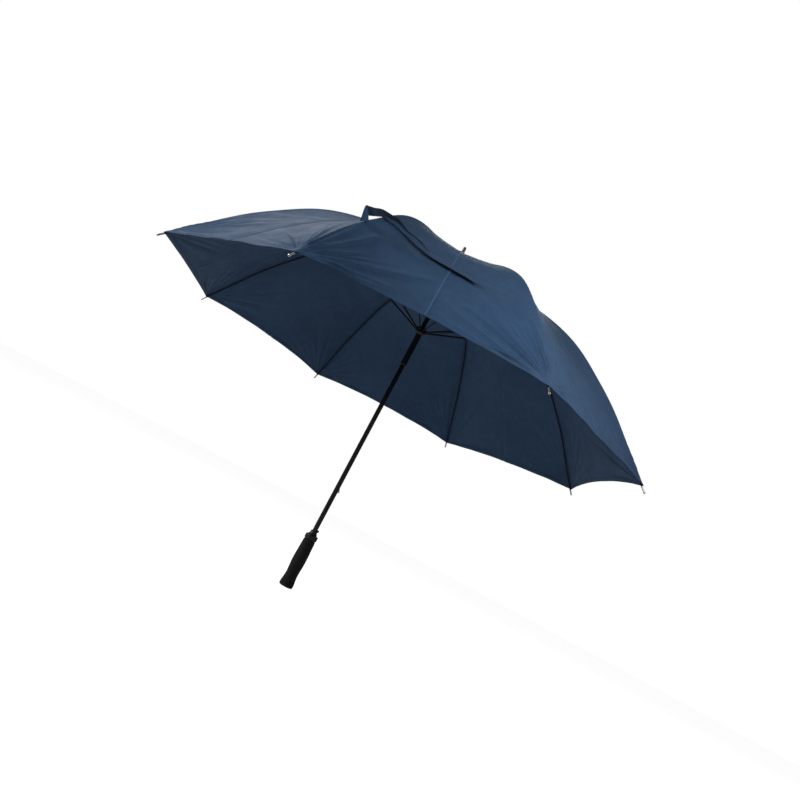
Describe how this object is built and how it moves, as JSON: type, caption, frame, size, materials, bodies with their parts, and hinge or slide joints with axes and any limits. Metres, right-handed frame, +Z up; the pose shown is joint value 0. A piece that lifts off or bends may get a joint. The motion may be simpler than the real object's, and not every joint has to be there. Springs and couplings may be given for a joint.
{
  "type": "golf umbrella",
  "caption": "Open golf umbrella: a domed gored canopy on hinged ribs, with a sliding runner, spring catches, a straight shaft and a waisted foam grip.",
  "frame": {"origin": "centre of the handle's lower end face", "axes": "+Z up the shaft towards the ferrule; +X the side the spring teeth face; the panel between ribs 6 and 7, with the tie strap, faces -Y"},
  "size_m": [1.216, 1.216, 0.978],
  "materials": {
    "canopy_cloth": "satin navy polyester, plain weave",
    "strap_cloth": "satin navy polyester, folded and stitched",
    "rib_rod": "black glass-fibre rod",
    "clip_plastic": "black moulded plastic",
    "stretcher_metal": "black enamel, satin",
    "shaft_metal": "black enamel, glossy",
    "ferrule_metal": "grey-brown plated metal",
    "nickel": "nickel plate",
    "black_plastic": "black moulded plastic, satin",
    "steel_wire": "plain steel wire",
    "spring_steel": "bright spring steel",
    "grip_foam": "closed-cell foam, matt"
  },
  "bodies": {
    "shaft": {"shaft": "shaft_metal", "ferrule": "ferrule_metal", "top_notch": "black_plastic", "notch_wire": "steel_wire", "grip_core": "black_plastic", "foam_grip": "grip_foam", "handle_collar": "black_plastic"},
    "runner": {"runner": "black_plastic", "runner_wire": "steel_wire"},
    "hand_spring": {"hand_spring": "spring_steel"},
    "top_spring": {"top_spring": "spring_steel"},
    "rib_inner_1": {"rib_1_inner": "rib_rod", "rib_1_connector": "clip_plastic", "canopy_sector_1": "canopy_cloth"},
    "rib_outer_1": {"rib_1_outer": "rib_rod", "rib_1_tip": "nickel"},
    "stretcher_1": {"stretcher_1": "stretcher_metal"},
    "rib_inner_2": {"rib_2_inner": "rib_rod", "rib_2_connector": "clip_plastic", "canopy_sector_2": "canopy_cloth"},
    "rib_outer_2": {"rib_2_outer": "rib_rod", "rib_2_tip": "nickel"},
    "stretcher_2": {"stretcher_2": "stretcher_metal"},
    "rib_inner_3": {"rib_3_inner": "rib_rod", "rib_3_connector": "clip_plastic", "canopy_sector_3": "canopy_cloth"},
    "rib_outer_3": {"rib_3_outer": "rib_rod", "rib_3_tip": "nickel"},
    "stretcher_3": {"stretcher_3": "stretcher_metal"},
    "rib_inner_4": {"rib_4_inner": "rib_rod", "rib_4_connector": "clip_plastic", "canopy_sector_4": "canopy_cloth"},
    "rib_outer_4": {"rib_4_outer": "rib_rod", "rib_4_tip": "nickel"},
    "stretcher_4": {"stretcher_4": "stretcher_metal"},
    "rib_inner_5": {"rib_5_inner": "rib_rod", "rib_5_connector": "clip_plastic", "canopy_sector_5": "canopy_cloth"},
    "rib_outer_5": {"rib_5_outer": "rib_rod", "rib_5_tip": "nickel"},
    "stretcher_5": {"stretcher_5": "stretcher_metal"},
    "rib_inner_6": {"rib_6_inner": "rib_rod", "rib_6_connector": "clip_plastic", "canopy_sector_6": "canopy_cloth"},
    "rib_outer_6": {"rib_6_outer": "rib_rod", "rib_6_tip": "nickel", "tie_strap": "strap_cloth"},
    "stretcher_6": {"stretcher_6": "stretcher_metal"},
    "rib_inner_7": {"rib_7_inner": "rib_rod", "rib_7_connector": "clip_plastic", "canopy_sector_7": "canopy_cloth"},
    "rib_outer_7": {"rib_7_outer": "rib_rod", "rib_7_tip": "nickel"},
    "stretcher_7": {"stretcher_7": "stretcher_metal"},
    "rib_inner_8": {"rib_8_inner": "rib_rod", "rib_8_connector": "clip_plastic", "canopy_sector_8": "canopy_cloth"},
    "rib_outer_8": {"rib_8_outer": "rib_rod", "rib_8_tip": "nickel"},
    "stretcher_8": {"stretcher_8": "stretcher_metal"}
  },
  "joints": [
    {"name": "runner_slide", "type": "slide", "parent": "shaft", "child": "runner", "axis": [0, 0, 1], "range_m": [-0.4305, 0], "deforming": ["canopy_sector_1", "canopy_sector_2", "canopy_sector_3", "canopy_sector_4", "canopy_sector_5", "canopy_sector_6", "canopy_sector_7", "canopy_sector_8", "tie_strap", "hand_spring", "top_spring"]},
    {"name": "rib_1_hinge", "type": "hinge", "parent": "shaft", "child": "rib_inner_1", "pos_m": [0.00924, 0.00383, 0.893], "axis": [-0.3827, 0.9239, 0], "range_deg": [0, 80]},
    {"name": "rib_1_flex", "type": "hinge", "parent": "rib_inner_1", "child": "rib_outer_1", "pos_m": [0.2804, 0.11614, 0.8615], "axis": [-0.3827, 0.9239, 0], "range_deg": [-29.52, 0]},
    {"name": "stretcher_1_hinge", "type": "hinge", "parent": "rib_inner_1", "child": "stretcher_1", "pos_m": [0.27439, 0.11366, 0.8538], "axis": [-0.3827, 0.9239, 0], "range_deg": [-143.24, 0]},
    {"name": "rib_2_hinge", "type": "hinge", "parent": "shaft", "child": "rib_inner_2", "pos_m": [0.00383, 0.00924, 0.893], "axis": [-0.9239, 0.3827, 0], "range_deg": [0, 80]},
    {"name": "rib_2_flex", "type": "hinge", "parent": "rib_inner_2", "child": "rib_outer_2", "pos_m": [0.11614, 0.2804, 0.8615], "axis": [-0.9239, 0.3827, 0], "range_deg": [-29.52, 0]},
    {"name": "stretcher_2_hinge", "type": "hinge", "parent": "rib_inner_2", "child": "stretcher_2", "pos_m": [0.11366, 0.27439, 0.8538], "axis": [-0.9239, 0.3827, 0], "range_deg": [-143.24, 0]},
    {"name": "rib_3_hinge", "type": "hinge", "parent": "shaft", "child": "rib_inner_3", "pos_m": [-0.00383, 0.00924, 0.893], "axis": [-0.9239, -0.3827, 0], "range_deg": [0, 80]},
    {"name": "rib_3_flex", "type": "hinge", "parent": "rib_inner_3", "child": "rib_outer_3", "pos_m": [-0.11614, 0.2804, 0.8615], "axis": [-0.9239, -0.3827, 0], "range_deg": [-29.52, 0]},
    {"name": "stretcher_3_hinge", "type": "hinge", "parent": "rib_inner_3", "child": "stretcher_3", "pos_m": [-0.11366, 0.27439, 0.8538], "axis": [-0.9239, -0.3827, 0], "range_deg": [-143.24, 0]},
    {"name": "rib_4_hinge", "type": "hinge", "parent": "shaft", "child": "rib_inner_4", "pos_m": [-0.00924, 0.00383, 0.893], "axis": [-0.3827, -0.9239, 0], "range_deg": [0, 80]},
    {"name": "rib_4_flex", "type": "hinge", "parent": "rib_inner_4", "child": "rib_outer_4", "pos_m": [-0.2804, 0.11614, 0.8615], "axis": [-0.3827, -0.9239, 0], "range_deg": [-29.52, 0]},
    {"name": "stretcher_4_hinge", "type": "hinge", "parent": "rib_inner_4", "child": "stretcher_4", "pos_m": [-0.27439, 0.11366, 0.8538], "axis": [-0.3827, -0.9239, 0], "range_deg": [-143.24, 0]},
    {"name": "rib_5_hinge", "type": "hinge", "parent": "shaft", "child": "rib_inner_5", "pos_m": [-0.00924, -0.00383, 0.893], "axis": [0.3827, -0.9239, 0], "range_deg": [0, 80]},
    {"name": "rib_5_flex", "type": "hinge", "parent": "rib_inner_5", "child": "rib_outer_5", "pos_m": [-0.2804, -0.11614, 0.8615], "axis": [0.3827, -0.9239, 0], "range_deg": [-29.52, 0]},
    {"name": "stretcher_5_hinge", "type": "hinge", "parent": "rib_inner_5", "child": "stretcher_5", "pos_m": [-0.27439, -0.11366, 0.8538], "axis": [0.3827, -0.9239, 0], "range_deg": [-143.24, 0]},
    {"name": "rib_6_hinge", "type": "hinge", "parent": "shaft", "child": "rib_inner_6", "pos_m": [-0.00383, -0.00924, 0.893], "axis": [0.9239, -0.3827, 0], "range_deg": [0, 80]},
    {"name": "rib_6_flex", "type": "hinge", "parent": "rib_inner_6", "child": "rib_outer_6", "pos_m": [-0.11614, -0.2804, 0.8615], "axis": [0.9239, -0.3827, 0], "range_deg": [-29.52, 0]},
    {"name": "stretcher_6_hinge", "type": "hinge", "parent": "rib_inner_6", "child": "stretcher_6", "pos_m": [-0.11366, -0.27439, 0.8538], "axis": [0.9239, -0.3827, 0], "range_deg": [-143.24, 0]},
    {"name": "rib_7_hinge", "type": "hinge", "parent": "shaft", "child": "rib_inner_7", "pos_m": [0.00383, -0.00924, 0.893], "axis": [0.9239, 0.3827, 0], "range_deg": [0, 80]},
    {"name": "rib_7_flex", "type": "hinge", "parent": "rib_inner_7", "child": "rib_outer_7", "pos_m": [0.11614, -0.2804, 0.8615], "axis": [0.9239, 0.3827, 0], "range_deg": [-29.52, 0]},
    {"name": "stretcher_7_hinge", "type": "hinge", "parent": "rib_inner_7", "child": "stretcher_7", "pos_m": [0.11366, -0.27439, 0.8538], "axis": [0.9239, 0.3827, 0], "range_deg": [-143.24, 0]},
    {"name": "rib_8_hinge", "type": "hinge", "parent": "shaft", "child": "rib_inner_8", "pos_m": [0.00924, -0.00383, 0.893], "axis": [0.3827, 0.9239, 0], "range_deg": [0, 80]},
    {"name": "rib_8_flex", "type": "hinge", "parent": "rib_inner_8", "child": "rib_outer_8", "pos_m": [0.2804, -0.11614, 0.8615], "axis": [0.3827, 0.9239, 0], "range_deg": [-29.52, 0]},
    {"name": "stretcher_8_hinge", "type": "hinge", "parent": "rib_inner_8", "child": "stretcher_8", "pos_m": [0.27439, -0.11366, 0.8538], "axis": [0.3827, 0.9239, 0], "range_deg": [-143.24, 0]},
    {"name": "hand_spring_press", "type": "slide", "parent": "shaft", "child": "hand_spring", "axis": [1, 0, 0], "range_m": [-0.005, 0], "stiffness_N_per_m": 600, "springref_m": 0.003},
    {"name": "top_spring_press", "type": "slide", "parent": "shaft", "child": "top_spring", "axis": [1, 0, 0], "range_m": [-0.005, 0], "stiffness_N_per_m": 600, "springref_m": 0.003}
  ],
  "couplings": [
    {"joint": "rib_1_hinge", "follows": "runner_slide", "rad_per_m": -3.2434},
    {"joint": "rib_1_flex", "follows": "runner_slide", "rad_per_m": 1.1967},
    {"joint": "stretcher_1_hinge", "follows": "runner_slide", "rad_per_m": 5.8073},
    {"joint": "rib_2_hinge", "follows": "runner_slide", "rad_per_m": -3.2434},
    {"joint": "rib_2_flex", "follows": "runner_slide", "rad_per_m": 1.1967},
    {"joint": "stretcher_2_hinge", "follows": "runner_slide", "rad_per_m": 5.8073},
    {"joint": "rib_3_hinge", "follows": "runner_slide", "rad_per_m": -3.2434},
    {"joint": "rib_3_flex", "follows": "runner_slide", "rad_per_m": 1.1967},
    {"joint": "stretcher_3_hinge", "follows": "runner_slide", "rad_per_m": 5.8073},
    {"joint": "rib_4_hinge", "follows": "runner_slide", "rad_per_m": -3.2434},
    {"joint": "rib_4_flex", "follows": "runner_slide", "rad_per_m": 1.1967},
    {"joint": "stretcher_4_hinge", "follows": "runner_slide", "rad_per_m": 5.8073},
    {"joint": "rib_5_hinge", "follows": "runner_slide", "rad_per_m": -3.2434},
    {"joint": "rib_5_flex", "follows": "runner_slide", "rad_per_m": 1.1967},
    {"joint": "stretcher_5_hinge", "follows": "runner_slide", "rad_per_m": 5.8073},
    {"joint": "rib_6_hinge", "follows": "runner_slide", "rad_per_m": -3.2434},
    {"joint": "rib_6_flex", "follows": "runner_slide", "rad_per_m": 1.1967},
    {"joint": "stretcher_6_hinge", "follows": "runner_slide", "rad_per_m": 5.8073},
    {"joint": "rib_7_hinge", "follows": "runner_slide", "rad_per_m": -3.2434},
    {"joint": "rib_7_flex", "follows": "runner_slide", "rad_per_m": 1.1967},
    {"joint": "stretcher_7_hinge", "follows": "runner_slide", "rad_per_m": 5.8073},
    {"joint": "rib_8_hinge", "follows": "runner_slide", "rad_per_m": -3.2434},
    {"joint": "rib_8_flex", "follows": "runner_slide", "rad_per_m": 1.1967},
    {"joint": "stretcher_8_hinge", "follows": "runner_slide", "rad_per_m": 5.8073}
  ]
}
